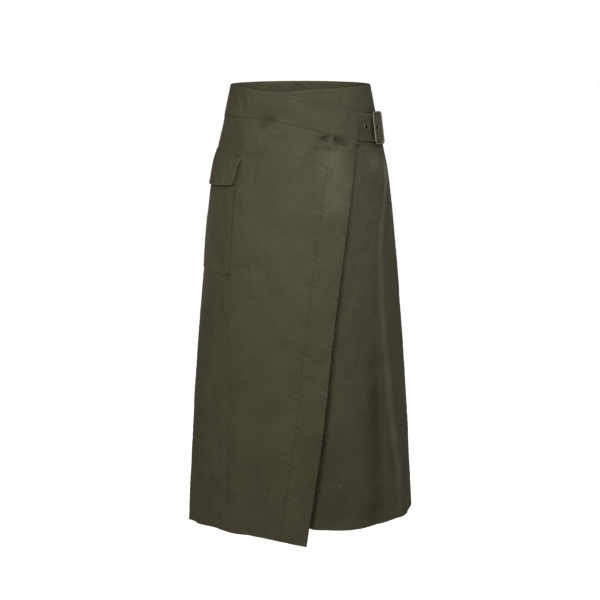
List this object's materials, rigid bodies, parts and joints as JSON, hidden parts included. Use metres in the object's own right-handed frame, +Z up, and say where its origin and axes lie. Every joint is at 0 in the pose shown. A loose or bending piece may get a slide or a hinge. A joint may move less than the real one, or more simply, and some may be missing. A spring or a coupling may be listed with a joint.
{
  "type": "cargo utility skirt",
  "caption": "Long wrap skirt in cotton twill with a slanting waistband, a buckled strap at one side and a flapped cargo pocket at the other.",
  "frame": {"origin": "the middle of the waist, level with the top edge of the waistband", "axes": "+Z up, the front towards -Y, the buckle side towards +X and the pocket side towards -X"},
  "size_m": [0.433, 0.3314, 0.845],
  "materials": {
    "twill": "washed olive cotton twill, matt",
    "buckle_metal": "dark nickel-plated zinc, worn"
  },
  "bodies": {
    "root": {"front_overlap": "twill", "front_underlap": "twill", "back_panel": "twill", "waistband_overlap": "twill", "waistband_underlap": "twill", "waistband_back": "twill", "cargo_pocket": "twill", "cargo_flap": "twill", "buckle_tab": "twill", "buckle_frame": "buckle_metal", "buckle_prong": "buckle_metal", "eyelet_1": "buckle_metal", "eyelet_2": "buckle_metal"}
  },
  "joints": []
}
